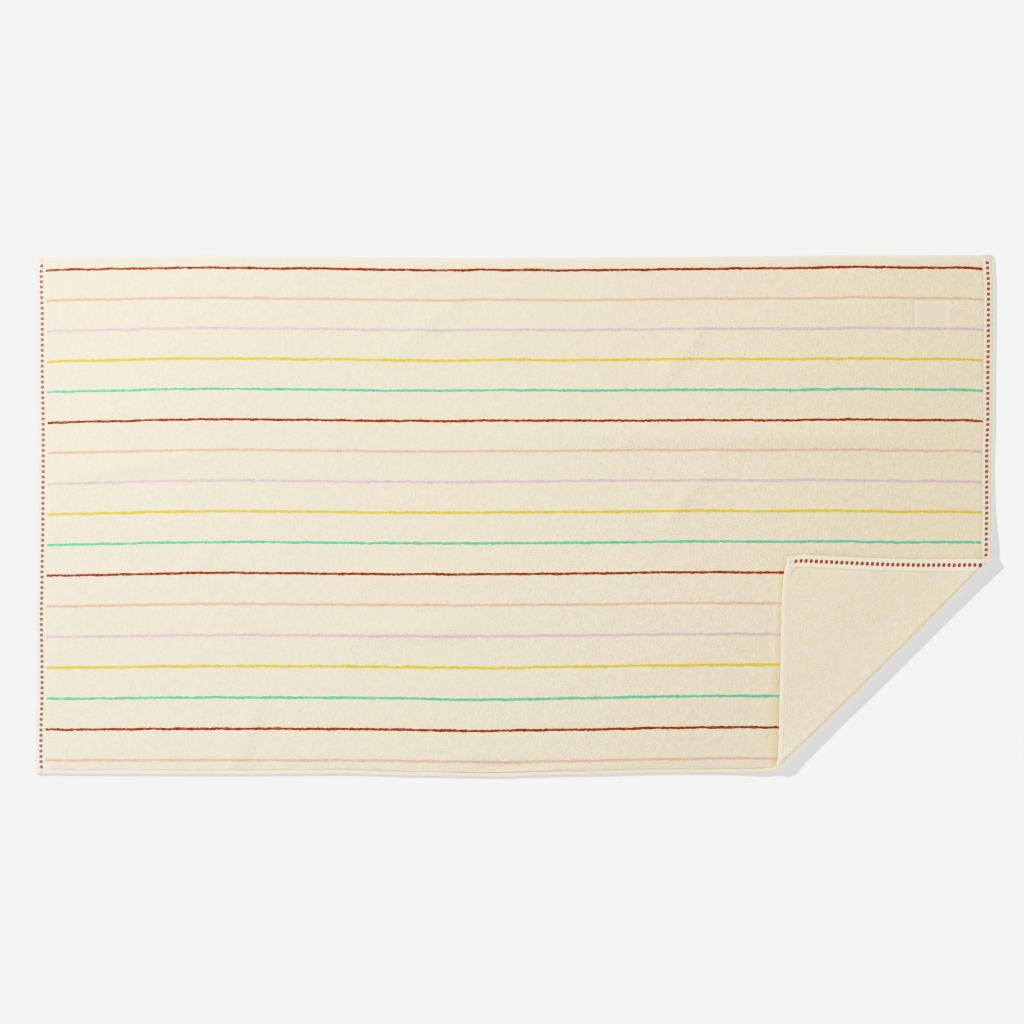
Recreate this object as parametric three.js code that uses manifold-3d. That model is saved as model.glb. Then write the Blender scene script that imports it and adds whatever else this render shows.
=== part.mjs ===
import * as THREE from 'three';
import { mergeVertices } from 'three/addons/utils/BufferGeometryUtils.js';
import Module from 'manifold-3d';

// Terry bath towel lying face up, with its lower right corner folded over the face.
// Millimetres. X runs along the towel, Y across it, and Z is up from the surface that it lies on.

// The cloth laid out flat
const LENGTH = 1300;
const WIDTH = 704;
const THICKNESS = 4.2;
const HEM_THICKNESS = 3.6;
const END_HEM = 12.6;
const SIDE_HEM = 8;
const HEM_STEP_RUN = 1.5;
const RIM_ROUNDING = 0.9;

// Low swells of the pile: the run of one wave along X and Y, and where it starts in turns
const SWELL_HEIGHT = 0.3;
const SWELLS = [
  { runX: 450, runY: 900, start: 0.1 },
  { runX: 270, runY: -560, start: 0 },
  { runX: -800, runY: 365, start: 0.3 },
];

// The fold: a line at this angle to X, whose outermost edge is this far from the origin
const FOLD_ANGLE = THREE.MathUtils.degToRad(44.64);
const FOLD_REACH = 495.55;
const LOOP_RADIUS = 3.6;
const LOOP_LIFT = 1.2;
const LIFT_RUN = 77;
const DROP_RUN = 45;
const FLAP_HEIGHT = 7.3;
const FLAP_SHEAR = 0.042;
const FOLD_BOW = 2.5;
const FOLD_TILT = 0.7;
const FOLD_MIDDLE = 213;
const FOLD_HALF_LENGTH = 205;

// The flat woven patch that lies lower than the pile
const PATCH = { x: 565.4, y: 273, length: 48.5, width: 36.5, depth: 0.8 };

// Mesh spacing
const ROW_SPACING = 26;
const FLAP_ROW_SPACING = 18;
const LIFT_ROWS = 6;
const LOOP_ROWS = 12;
const DROP_ROWS = 6;
const INNER_COLUMNS = 18;
const SHORTEST_INNER_ROW = 13;
const CLEAR_OF_CORNER = 6;
const SECTION_STEP = 0.25;
const PLACING_TURNS = 4;

// How far each edge of the cloth lies beyond its straight line, outward, at places along it
const TOP_EDGE = [
  { at: -650, out: -0.5 },
  { at: -635, out: -0.5 },
  { at: -615, out: -0.4 },
  { at: -540, out: 1.3 },
  { at: -430, out: 2 },
  { at: -290, out: 1.1 },
  { at: -180, out: -0.5 },
  { at: -96, out: -1 },
  { at: -31, out: -1 },
  { at: 67, out: -1.2 },
  { at: 200, out: -0.1 },
  { at: 312, out: 0.9 },
  { at: 459, out: 2.2 },
  { at: 560, out: 2.5 },
  { at: 606, out: 2.4 },
  { at: 630, out: 2.7 },
  { at: 650, out: 3.3 },
];
const BOTTOM_EDGE = [
  { at: -650, out: 0.9 },
  { at: -630, out: 0.5 },
  { at: -600, out: 1 },
  { at: -400, out: 1.6 },
  { at: -230, out: 0.9 },
  { at: -130, out: 3.5 },
  { at: -31, out: 5.1 },
  { at: 84, out: 2.5 },
  { at: 212, out: -0.1 },
  { at: 312, out: -0.7 },
  { at: 352, out: -3.3 },
  { at: 385, out: -7 },
  { at: 410, out: -7.5 },
  { at: 450, out: -7 },
  { at: 500, out: -6.6 },
  { at: 550, out: -5.8 },
  { at: 590, out: -5.4 },
  { at: 620, out: -6.7 },
  { at: 650, out: -10.5 },
];
const RIGHT_EDGE = [
  { at: -352, out: -10.3 },
  { at: -330, out: -7.1 },
  { at: -300, out: -7.5 },
  { at: -255, out: -8 },
  { at: -210, out: -8.3 },
  { at: -170, out: -7.7 },
  { at: -120, out: -6.2 },
  { at: -85, out: -4.8 },
  { at: -52, out: -2.6 },
  { at: 0, out: -1.6 },
  { at: 71, out: -1.8 },
  { at: 130, out: -0.2 },
  { at: 190, out: -0.2 },
  { at: 234, out: 0.4 },
  { at: 275, out: 0.6 },
  { at: 310, out: 0.8 },
  { at: 335, out: -0.6 },
  { at: 352, out: -1.7 },
];
const LEFT_EDGE = [
  { at: -352, out: 1.3 },
  { at: -325, out: 2.4 },
  { at: -290, out: 2.3 },
  { at: -245, out: 0.9 },
  { at: -200, out: 1 },
  { at: -147, out: 1.8 },
  { at: -80, out: 1 },
  { at: -11, out: -0.2 },
  { at: 71, out: -0.6 },
  { at: 130, out: -0.6 },
  { at: 200, out: 0.7 },
  { at: 275, out: 0.7 },
  { at: 305, out: 1.6 },
  { at: 330, out: 2.2 },
  { at: 352, out: 0.4 },
];

const HALF_LENGTH = LENGTH / 2;
const HALF_WIDTH = WIDTH / 2;
const across = new THREE.Vector2(Math.sin(FOLD_ANGLE), -Math.cos(FOLD_ANGLE));
const along = new THREE.Vector2(Math.cos(FOLD_ANGLE), Math.sin(FOLD_ANGLE));

function lookUp(table, place) {
  const found = table.findIndex((row) => row.at >= place);
  const next = found < 0 ? table.length - 1 : Math.max(found, 1);
  const [from, to] = [table[next - 1], table[next]];
  const share = THREE.MathUtils.smoothstep(place, from.at, to.at);
  return THREE.MathUtils.lerp(from.out, to.out, share);
}

// A place on the straight rectangle, moved to where the uneven edges put it
function laidOut(place) {
  const shareX = (place.x + HALF_LENGTH) / LENGTH;
  const shareY = (place.y + HALF_WIDTH) / WIDTH;
  const moveX = THREE.MathUtils.lerp(-lookUp(LEFT_EDGE, place.y), lookUp(RIGHT_EDGE, place.y), shareX);
  const moveY = THREE.MathUtils.lerp(-lookUp(BOTTOM_EDGE, place.x), lookUp(TOP_EDGE, place.x), shareY);
  return new THREE.Vector2(place.x + moveX, place.y + moveY);
}

// Section across the fold: the cloth's middle layer rises, goes round the loop and comes back down
const LOOP_CENTRE = FOLD_REACH - LOOP_RADIUS - THICKNESS / 2;
const LIFT_START = LOOP_CENTRE - LIFT_RUN;
const LOOP_TOP = THICKNESS / 2 + LOOP_LIFT + 2 * LOOP_RADIUS;
const DROP_SLOPE = 2 * (LOOP_TOP - FLAP_HEIGHT) / DROP_RUN;
const LOOP_ARC = LOOP_RADIUS * (Math.PI + DROP_SLOPE);
const DROP_START = LIFT_START + LIFT_RUN + LOOP_ARC;

function slopeAt(distance) {
  if (distance <= LOOP_CENTRE) {
    const share = (distance - LIFT_START) / LIFT_RUN;
    return LOOP_LIFT * Math.PI / (2 * LIFT_RUN) * Math.sin(Math.PI * share);
  }
  if (distance <= DROP_START) {
    return (distance - LOOP_CENTRE) / LOOP_RADIUS;
  }
  const share = THREE.MathUtils.smoothstep(distance, DROP_START, DROP_START + DROP_RUN);
  return Math.PI + DROP_SLOPE * (1 - share);
}

function walkSection() {
  const section = [{ reach: LIFT_START, height: THICKNESS / 2 }];
  const steps = Math.ceil((HALF_LENGTH + HALF_WIDTH - LIFT_START) / SECTION_STEP);
  for (let step = 0; step < steps; step += 1) {
    const slope = slopeAt(LIFT_START + (step + 0.5) * SECTION_STEP);
    const before = section[step];
    section.push({
      reach: before.reach + SECTION_STEP * Math.cos(slope),
      height: before.height + SECTION_STEP * Math.sin(slope),
    });
  }
  return section;
}

const section = walkSection();

// How much of the loop's lift the cloth has here, from 0 where it lies flat to 1 in the loop
function loopShare(distance, height) {
  if (distance <= LOOP_CENTRE) {
    return THREE.MathUtils.smoothstep(distance, LIFT_START, LOOP_CENTRE);
  }
  if (distance <= DROP_START) {
    return 1;
  }
  return THREE.MathUtils.clamp((height - FLAP_HEIGHT) / (LOOP_TOP - FLAP_HEIGHT), 0, 1);
}

// A place on the rectangle, and a distance out of the middle layer towards the face, as a point in space
function foldedPoint(place, offset) {
  const flat = laidOut(place);
  const distance = flat.dot(across);
  if (distance <= LIFT_START) {
    return new THREE.Vector3(flat.x, flat.y, THICKNESS / 2 + offset);
  }
  const position = (distance - LIFT_START) / SECTION_STEP;
  const index = Math.floor(position);
  const reach = THREE.MathUtils.lerp(section[index].reach, section[index + 1].reach, position - index);
  const height = THREE.MathUtils.lerp(section[index].height, section[index + 1].height, position - index);
  const slope = slopeAt(distance);
  const share = loopShare(distance, height);
  const travel = flat.dot(along);
  const side = (travel - FOLD_MIDDLE) / FOLD_HALF_LENGTH;
  const outward = reach + FOLD_BOW * share * (1 - side * side) - offset * Math.sin(slope);
  const sheared = travel + FLAP_SHEAR * Math.max(0, distance - LOOP_CENTRE);
  return new THREE.Vector3(
    across.x * outward + along.x * sheared,
    across.y * outward + along.y * sheared,
    height + FOLD_TILT * share * side + offset * Math.cos(slope),
  );
}

// Height of the face over the middle layer: hems are thinner, and the pile lies a little unevenly
function faceOffset(place) {
  const insideEnd = HALF_LENGTH - END_HEM - Math.abs(place.x);
  const insideSide = HALF_WIDTH - SIDE_HEM - Math.abs(place.y);
  const inside = THREE.MathUtils.clamp(Math.min(insideEnd, insideSide) / HEM_STEP_RUN, 0, 1);
  const waves = SWELLS.map((swell) => {
    const turns = place.x / swell.runX + place.y / swell.runY + swell.start;
    return Math.sin(2 * Math.PI * turns);
  });
  const swell = waves.reduce((sum, wave) => sum + wave, 0) / waves.length;
  const pile = THICKNESS - HEM_THICKNESS + SWELL_HEIGHT * swell;
  return HEM_THICKNESS - THICKNESS / 2 + inside * pile;
}

// Where a line parallel to the fold crosses a rectangle
function crossing(distance, halfLength, halfWidth) {
  const fromEnd = (-halfLength - distance * across.x) / along.x;
  const fromSide = (-halfWidth - distance * across.y) / along.y;
  const toEnd = (halfLength - distance * across.x) / along.x;
  const toSide = (halfWidth - distance * across.y) / along.y;
  return { from: Math.max(fromEnd, fromSide), to: Math.min(toEnd, toSide) };
}

function placeOnLine(distance, travel) {
  return across.clone().multiplyScalar(distance).addScaledVector(along, travel);
}

// The places of one row of the mesh: edge, hem line, foot of the pile, and even steps between
function rowPlaces(distance) {
  const outer = crossing(distance, HALF_LENGTH, HALF_WIDTH);
  const inner = crossing(distance, HALF_LENGTH - END_HEM, HALF_WIDTH - SIDE_HEM);
  const stepRun = HEM_STEP_RUN * Math.SQRT2;
  const columns = INNER_COLUMNS + 4;
  const travels = [];
  if (inner.to - inner.from > SHORTEST_INNER_ROW) {
    travels.push(outer.from, inner.from);
    for (let column = 0; column <= INNER_COLUMNS; column += 1) {
      const share = column / INNER_COLUMNS;
      travels.push(THREE.MathUtils.lerp(inner.from + stepRun, inner.to - stepRun, share));
    }
    travels.push(inner.to, outer.to);
  } else {
    for (let column = 0; column <= columns; column += 1) {
      travels.push(THREE.MathUtils.lerp(outer.from, outer.to, column / columns));
    }
  }
  return travels.map((travel) => placeOnLine(distance, travel));
}

// The row on the rectangle whose middle comes to lie at this distance across the fold
function rowFor(wanted) {
  let distance = wanted;
  for (let turn = 0; turn < PLACING_TURNS; turn += 1) {
    const outer = crossing(distance, HALF_LENGTH, HALF_WIDTH);
    const middle = laidOut(placeOnLine(distance, (outer.from + outer.to) / 2));
    distance += wanted - middle.dot(across);
  }
  return distance;
}

function cornerDistance(x, y) {
  return new THREE.Vector2(x, y).dot(across);
}

function steps(from, to, count) {
  return Array.from({ length: count }, (unused, index) => THREE.MathUtils.lerp(from, to, index / count));
}

function rowDistances() {
  const first = cornerDistance(-HALF_LENGTH, HALF_WIDTH);
  const last = cornerDistance(HALF_LENGTH, -HALF_WIDTH);
  const liftStart = rowFor(LIFT_START);
  const loopStart = rowFor(LOOP_CENTRE);
  const dropStart = rowFor(DROP_START);
  const dropEnd = rowFor(DROP_START + DROP_RUN);
  const hemLength = HALF_LENGTH - END_HEM;
  const hemWidth = HALF_WIDTH - SIDE_HEM;
  const corners = [
    cornerDistance(-HALF_LENGTH, -HALF_WIDTH),
    cornerDistance(HALF_LENGTH, HALF_WIDTH),
    cornerDistance(-hemLength, hemWidth),
    cornerDistance(hemLength, -hemWidth),
  ];
  const even = [
    ...steps(first, liftStart, Math.round((liftStart - first) / ROW_SPACING)),
    ...steps(liftStart, loopStart, LIFT_ROWS),
    ...steps(loopStart, dropStart, LOOP_ROWS),
    ...steps(dropStart, dropEnd, DROP_ROWS),
    ...steps(dropEnd, last, Math.round((last - dropEnd) / FLAP_ROW_SPACING)),
    last,
  ];
  const isClear = (distance) => corners.every((corner) => Math.abs(corner - distance) > CLEAR_OF_CORNER);
  return [...even.filter(isClear), ...corners].sort((one, other) => one - other);
}

// Vertices and triangles of the whole cloth: face, reverse and the rounded rim between them
function clothMesh() {
  const points = [];
  const triangles = [];
  const addPoint = (place, offset) => points.push(foldedPoint(place, offset)) - 1;
  const addTriangle = (a, b, c) => {
    if (a !== b && b !== c && c !== a) {
      triangles.push(a, b, c);
    }
  };
  const addStrip = (one, other, columns, flipped) => {
    for (let column = 0; column < columns; column += 1) {
      const [a, b] = [one[column], one[column + 1]];
      const [c, d] = [other[column], other[column + 1]];
      if (flipped) {
        addTriangle(a, b, d);
        addTriangle(a, d, c);
      } else {
        addTriangle(a, d, b);
        addTriangle(a, c, d);
      }
    }
  };

  const insetToRim = (place) => new THREE.Vector2(
    THREE.MathUtils.clamp(place.x, -HALF_LENGTH + RIM_ROUNDING, HALF_LENGTH - RIM_ROUNDING),
    THREE.MathUtils.clamp(place.y, -HALF_WIDTH + RIM_ROUNDING, HALF_WIDTH - RIM_ROUNDING),
  );
  const distances = rowDistances();
  const rows = distances.map((distance, index) => {
    const isCorner = index === 0 || index === distances.length - 1;
    const places = rowPlaces(distance);
    const used = isCorner ? [places[0]] : places;
    const face = used.map((place) => addPoint(insetToRim(place), faceOffset(place)));
    const reverse = used.map((place) => addPoint(insetToRim(place), -THICKNESS / 2));
    const middleOffset = (HEM_THICKNESS - THICKNESS) / 2;
    const startRim = addPoint(used[0], middleOffset);
    const endRim = isCorner ? startRim : addPoint(used[used.length - 1], middleOffset);
    const spread = (row) => (isCorner ? places.map(() => row[0]) : row);
    return { face: spread(face), reverse: spread(reverse), startRim, endRim };
  });

  for (let index = 0; index + 1 < rows.length; index += 1) {
    const [row, next] = [rows[index], rows[index + 1]];
    const columns = row.face.length - 1;
    addStrip(row.face, next.face, columns, false);
    addStrip(row.reverse, next.reverse, columns, true);
    const startWall = (one) => [one.reverse[0], one.startRim, one.face[0]];
    const endWall = (one) => [one.face[columns], one.endRim, one.reverse[columns]];
    addStrip(startWall(row), startWall(next), 2, false);
    addStrip(endWall(row), endWall(next), 2, false);
  }
  return { points, triangles };
}

function solidFrom(wasm, positions, triangles) {
  const vertProperties = new Float32Array(positions);
  const triVerts = new Uint32Array(triangles);
  return new wasm.Manifold(new wasm.Mesh({ numProp: 3, vertProperties, triVerts }));
}

function boxSolid(wasm, length, width, height, centre) {
  const box = new THREE.BoxGeometry(length, width, height);
  box.translate(centre.x, centre.y, centre.z);
  box.deleteAttribute('normal');
  box.deleteAttribute('uv');
  const merged = mergeVertices(box);
  return solidFrom(wasm, merged.attributes.position.array, merged.index.array);
}

function geometryFrom(solid) {
  const mesh = solid.getMesh();
  const geometry = new THREE.BufferGeometry();
  geometry.setAttribute('position', new THREE.BufferAttribute(new Float32Array(mesh.vertProperties), 3));
  geometry.setIndex(new THREE.BufferAttribute(new Uint32Array(mesh.triVerts), 1));
  geometry.computeVertexNormals();
  return geometry;
}

function makeTowel(wasm) {
  const { points, triangles } = clothMesh();
  const cloth = solidFrom(wasm, points.flatMap((point) => point.toArray()), triangles);
  const recessFloor = THICKNESS - PATCH.depth;
  const cutHeight = 4 * PATCH.depth;
  const centre = new THREE.Vector3(PATCH.x, PATCH.y, recessFloor + cutHeight / 2);
  const recess = boxSolid(wasm, PATCH.length, PATCH.width, cutHeight, centre);
  const material = new THREE.MeshStandardMaterial({ color: '#ebe3cc', roughness: 0.95, metalness: 0 });
  const towel = new THREE.Mesh(geometryFrom(cloth.subtract(recess)), material);
  towel.name = 'towel';
  return towel;
}

const wasm = await Module();
wasm.setup();

const part = new THREE.Group();
part.add(makeTowel(wasm));

export default part;
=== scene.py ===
"""Folded bath towel: striped velour face, plain terry reverse, woven end hems and one corner folded over.

Metres. X runs along the towel, Y across it, and Z is up. The sizes are the solid's own.
"""
import math

import bpy
import mathutils
import numpy as np
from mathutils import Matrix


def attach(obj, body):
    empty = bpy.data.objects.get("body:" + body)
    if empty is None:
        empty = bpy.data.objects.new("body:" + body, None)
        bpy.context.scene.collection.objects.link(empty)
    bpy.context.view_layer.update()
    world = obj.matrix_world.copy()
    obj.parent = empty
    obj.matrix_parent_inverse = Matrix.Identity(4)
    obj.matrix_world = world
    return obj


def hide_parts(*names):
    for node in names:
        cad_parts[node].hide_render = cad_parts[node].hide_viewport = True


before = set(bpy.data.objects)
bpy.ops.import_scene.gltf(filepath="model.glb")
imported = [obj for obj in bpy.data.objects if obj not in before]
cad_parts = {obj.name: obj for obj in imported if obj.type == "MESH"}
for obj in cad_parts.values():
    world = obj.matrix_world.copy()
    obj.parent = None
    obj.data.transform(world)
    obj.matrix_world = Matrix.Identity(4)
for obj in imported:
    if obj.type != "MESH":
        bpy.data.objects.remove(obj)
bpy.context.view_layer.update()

MILLIMETRE = 0.001

# The cloth laid out flat
LENGTH = 1.3
WIDTH = 0.704
THICKNESS = 0.0042
HALF_LENGTH = LENGTH / 2
HALF_WIDTH = WIDTH / 2

# In the materials the halves of the towel go over into each other over twice this run
MIDDLE_RUN = 0.001

# The fold: a line at this angle to X, whose outermost edge is this far from the origin. The cloth rises to a
# loop over LIFT_RUN and comes down to the flap over DROP_RUN. The loop bows out and flares up at both ends.
FOLD_ANGLE = math.radians(44.64)
FOLD_REACH = 0.49585
LOOP_RADIUS = 0.0036
LOOP_LIFT = 0.0015
LIFT_RUN = 0.077
DROP_RUN = 0.045
FLAP_HEIGHT = 0.0073
FLAP_SHEAR = 0.042
FOLD_BOW = 0.0025
FOLD_FLARE = 0.0021
FOLD_MIDDLE = 0.213
FOLD_HALF_LENGTH = 0.205
FOLD_END = 1.1

ACROSS = np.array((math.sin(FOLD_ANGLE), -math.cos(FOLD_ANGLE)))
ALONG = np.array((math.cos(FOLD_ANGLE), math.sin(FOLD_ANGLE)))

# How far each edge of the cloth lies beyond its straight line, outward, at places along it
TOP_EDGE = {
    "at": (
        -0.65, -0.635, -0.615, -0.54, -0.43, -0.29, -0.18, -0.096, -0.031, 0.067, 0.2,
        0.312, 0.459, 0.56, 0.606, 0.63, 0.65,
    ),
    "out": (
        -0.0005, -0.0005, -0.0004, 0.0013, 0.002, 0.0011, -0.0005, -0.001, -0.001, -0.0012,
        -0.0001, 0.0009, 0.0022, 0.0025, 0.0024, 0.0027, 0.0033,
    ),
}
BOTTOM_EDGE = {
    "at": (
        -0.65, -0.63, -0.6, -0.4, -0.23, -0.13, -0.031, 0.084, 0.212, 0.312, 0.33,
        0.342, 0.348, 0.354, 0.36, 0.37, 0.385, 0.41, 0.45, 0.5, 0.55, 0.59, 0.62, 0.65,
    ),
    "out": (
        0.0009, 0.0005, 0.001, 0.0016, 0.0009, 0.0035, 0.0051, 0.0025, -0.0001, -0.0005, -0.0006,
        -0.0011, -0.002, -0.0026, -0.0034, -0.0052, -0.007, -0.0075, -0.007, -0.0066, -0.0058, -0.0054,
        -0.0067, -0.0105,
    ),
}
RIGHT_EDGE = {
    "at": (
        -0.352, -0.33, -0.3, -0.255, -0.21, -0.17, -0.12, -0.085, -0.052, 0.0, 0.071,
        0.13, 0.19, 0.234, 0.275, 0.31, 0.335, 0.352,
    ),
    "out": (
        -0.0103, -0.0071, -0.0075, -0.008, -0.0083, -0.0077, -0.0062, -0.0048, -0.0026, -0.0016,
        -0.0018, -0.0002, -0.0002, 0.0004, 0.0006, 0.0008, -0.0006, -0.0017,
    ),
}
LEFT_EDGE = {
    "at": (
        -0.352, -0.325, -0.29, -0.245, -0.2, -0.147, -0.08, -0.011, 0.071, 0.13, 0.2,
        0.275, 0.305, 0.33, 0.352,
    ),
    "out": (
        0.0013, 0.0024, 0.0023, 0.0009, 0.001, 0.0018, 0.001, -0.0002, -0.0006, -0.0006,
        0.0007, 0.0007, 0.0016, 0.0022, 0.0004,
    ),
}

# How far the outermost stripes lie beyond their straight lines, outward, at places along them
TOP_STRIPE = {
    "at": (-0.65, -0.618, -0.43, -0.29, -0.096, -0.031, 0.067, 0.312, 0.459, 0.606, 0.65),
    "out": (-0.0032, -0.0006, 0.0018, 0.0005, -0.002, -0.001, -0.0021, 0.0005, 0.003, 0.0019, -0.0008),
}
BOTTOM_STRIPE = {
    "at": (-0.65, -0.6, -0.23, -0.031, 0.084, 0.212, 0.312, 0.65),
    "out": (-0.0008, 0.0005, 0.0006, 0.0032, 0.0019, -0.0008, -0.0022, -0.0067),
}

# How far the weft is pushed up at half the towel's width, where the outermost stripes stay as they are
WEFT_BOW = {
    "at": (-0.65, -0.56, -0.48, -0.374, -0.21, -0.1, 0.08, 0.2, 0.389, 0.54, 0.65),
    "out": (0.0007, 0.0021, 0.0034, 0.0045, 0.0038, 0.005, 0.0057, 0.005, 0.003, 0.0001, -0.0003),
}

# Where the weft is pulled down locally: middle in x and y, half length, half width and how far
WEFT_PULLS = (
    (0.286, 0.147, 0.17, 0.03, 0.0016),
    (0.116, 0.066, 0.06, 0.03, -0.0011),
    (-0.033, -0.25, 0.09, 0.05, 0.001),
    (0.408, 0.23, 0.045, 0.1, 0.0012),
)

# Section of the cloth inwards from its edges: height over the plane that it lies on
FACE_SECTION = {
    "end_inset": (0.0009, 0.002, 0.005, 0.0085, 0.0112, 0.0124, 0.0134, 0.0148, 0.0164, 0.018, 0.02),
    "end_height": (0.0033, 0.0036, 0.0037, 0.0037, 0.0036, 0.0035, 0.0036, 0.0038, 0.004, 0.0041, 0.0042),
    "side_inset": (0.0009, 0.002, 0.0034, 0.0048, 0.006, 0.0068, 0.0076, 0.0088, 0.01, 0.0114, 0.0135),
    "side_height": (0.0033, 0.0037, 0.0038, 0.0037, 0.0036, 0.0034, 0.0036, 0.0038, 0.004, 0.0041, 0.0042),
}
BACK_SECTION = {
    "end_inset": (0.0009, 0.002, 0.008, 0.015, 0.016, 0.0168, 0.0175, 0.0184, 0.02, 0.023),
    "end_height": (0.0003, 0.0, 0.0, 0.0, 0.0001, 0.0004, 0.0007, 0.0006, 0.0005, 0.0005),
    "side_inset": (0.0009, 0.002, 0.0045, 0.006, 0.007, 0.008, 0.0088, 0.0096, 0.0106, 0.0125),
    "side_height": (0.0003, 0.0, 0.0, 0.0001, 0.0004, 0.0001, 0.0003, 0.0006, 0.0005, 0.0005),
}
RIM = {"inset": (0.00025, 0.0, 0.00025), "height": (0.0008, 0.0016, 0.0025)}

# Up to this inset the section of the side hem holds at the corners of the reverse too
BACK_CORNER = 0.006

# Low swells of the pile: the run of one wave along X and Y, and where it starts in turns. They fade out
# over the run beside the end hems and the long edges.
SWELL_HEIGHT = 0.0003
SWELL_INSET = 0.0134
SWELL_RUN = 0.02
SWELLS = ((0.45, 0.9, 0.1), (0.27, -0.56, 0.0), (-0.8, 0.365, 0.3))

# Soft creases that lying folded has left: middle in x and y, half length, half width, turn from X, height
CREASES = (
    (0.25, 0.107, 0.26, 0.017, -0.02, 0.00052),
    (-0.135, -0.154, 0.075, 0.013, 0.03, 0.00042),
    (-0.53, 0.066, 0.11, 0.013, 0.16, 0.00038),
    (-0.16, -0.086, 0.09, 0.011, 0.02, 0.0002),
    (-0.42, -0.05, 0.06, 0.014, 0.8, 0.0003),
    (-0.36, -0.29, 0.07, 0.012, 1.2, 0.0003),
    (0.225, 0.218, 0.055, 0.013, 0.9, 0.00032),
    (0.23, 0.02, 0.05, 0.012, 0.9, 0.00028),
    (-0.13, 0.25, 0.075, 0.012, 0.7, 0.00028),
    (-0.005, -0.338, 0.05, 0.007, 0.0, -0.0004),
)

# Heading towards the key light. The pile is painted paler on the side of a crease that is turned to it and
# darker on the side turned away: painted light and shade.
KEY_HEADING = (-0.814, 0.581)
SLOPE_REACH = 0.001
PAINTED_CREASE_LIGHT = 2.4

# The flat woven patch that lies lower than the pile
PATCH = {"x": 0.5654, "y": 0.273, "length": 0.0485, "width": 0.0365, "depth": 0.0008, "shoulder": 0.0011}

# Where the patch lies in the mesh's own directions, and half the square round it with the closer mesh
PATCH_DISTANCE = PATCH["x"] * ACROSS[0] + PATCH["y"] * ACROSS[1]
PATCH_REACH = (PATCH["length"] * ACROSS[0] - PATCH["width"] * ACROSS[1]) / 2 + PATCH["shoulder"]

# Mesh spacing
CLOTH_SPACING = 0.0054
FINE_SPACING = 0.0018
LOOP_SPACING = 0.0011
DROP_SPACING = 0.003
CORNER_REACH = 0.016
SMALLEST_STEP = 0.00002
SECTION_STEP = 0.00025
PLACING_TURNS = 4

# Where the face and the reverse lie in the map for baking: start and run
BAKE_ACROSS = (0.01, 0.98)
BAKE_FACE = (0.33, 0.66)
BAKE_BACK = (0.01, 0.3)


def eased(table, place):
    """Value of a table at a place, with a soft run between its rows."""
    at = np.array(table["at"])
    out = np.array(table["out"])
    row = np.clip(np.searchsorted(at, place) - 1, 0, len(at) - 2)
    share = np.clip((place - at[row]) / (at[row + 1] - at[row]), 0, 1)
    return out[row] + share * share * (3 - 2 * share) * (out[row + 1] - out[row])


def smooth(value, low, high):
    share = np.clip((value - low) / (high - low), 0, 1)
    return share * share * (3 - 2 * share)


def laid_out(u, v):
    """Places on the straight rectangle, moved to where the uneven edges put them."""
    share_x = (u + HALF_LENGTH) / LENGTH
    share_y = (v + HALF_WIDTH) / WIDTH
    move_x = (1 - share_x) * -eased(LEFT_EDGE, v) + share_x * eased(RIGHT_EDGE, v)
    move_y = (1 - share_y) * -eased(BOTTOM_EDGE, u) + share_y * eased(TOP_EDGE, u)
    return u + move_x, v + move_y


# Section across the fold: the cloth's middle layer rises, goes round the loop and comes back down
LOOP_CENTRE = FOLD_REACH - LOOP_RADIUS - THICKNESS / 2
LIFT_START = LOOP_CENTRE - LIFT_RUN
LOOP_TOP = THICKNESS / 2 + LOOP_LIFT + 2 * LOOP_RADIUS
DROP_SLOPE = 2 * (LOOP_TOP - FLAP_HEIGHT) / DROP_RUN
DROP_START = LOOP_CENTRE + LOOP_RADIUS * (math.pi + DROP_SLOPE)


def slope_at(distance):
    """Angle of the cloth's section to the floor at each distance along the cloth."""
    lift = LOOP_LIFT * math.pi / (2 * LIFT_RUN) * np.sin(math.pi * (distance - LIFT_START) / LIFT_RUN)
    loop = (distance - LOOP_CENTRE) / LOOP_RADIUS
    drop = math.pi + DROP_SLOPE * (1 - smooth(distance, DROP_START, DROP_START + DROP_RUN))
    slope = np.where(distance <= LOOP_CENTRE, lift, np.where(distance <= DROP_START, loop, drop))
    return np.where(distance <= LIFT_START, 0.0, slope)


section_distance = np.arange(LIFT_START, HALF_LENGTH + HALF_WIDTH, SECTION_STEP)
section_slope = slope_at(section_distance[:-1] + SECTION_STEP / 2)
section_reach = LIFT_START + np.concatenate(([0], np.cumsum(np.cos(section_slope)))) * SECTION_STEP
section_height = THICKNESS / 2 + np.concatenate(([0], np.cumsum(np.sin(section_slope)))) * SECTION_STEP


def folded(u, v, height):
    """Points in space for places on the rectangle, at a height over the cloth's own reverse plane."""
    offset = height - THICKNESS / 2
    x, y = laid_out(u, v)
    distance = x * ACROSS[0] + y * ACROSS[1]
    travel = x * ALONG[0] + y * ALONG[1]
    slope = slope_at(distance)
    reach = np.where(distance <= LIFT_START, distance, np.interp(distance, section_distance, section_reach))
    middle = np.interp(distance, section_distance, section_height)
    dropping = np.clip((middle - FLAP_HEIGHT) / (LOOP_TOP - FLAP_HEIGHT), 0, 1)
    lifting = smooth(distance, LIFT_START, LOOP_CENTRE)
    share = np.where(distance <= LOOP_CENTRE, lifting, np.where(distance <= DROP_START, 1.0, dropping))
    side = (travel - FOLD_MIDDLE) / FOLD_HALF_LENGTH
    side = np.clip(side, -FOLD_END, FOLD_END)
    outward = reach + FOLD_BOW * share * (1 - side**2) - offset * np.sin(slope)
    sheared = travel + FLAP_SHEAR * np.maximum(0, distance - LOOP_CENTRE)
    rise = middle + FOLD_FLARE * share**4 * side**4 + offset * np.cos(slope)
    return np.stack((
        ACROSS[0] * outward + ALONG[0] * sheared,
        ACROSS[1] * outward + ALONG[1] * sheared,
        rise,
    ), axis=-1)


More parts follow.
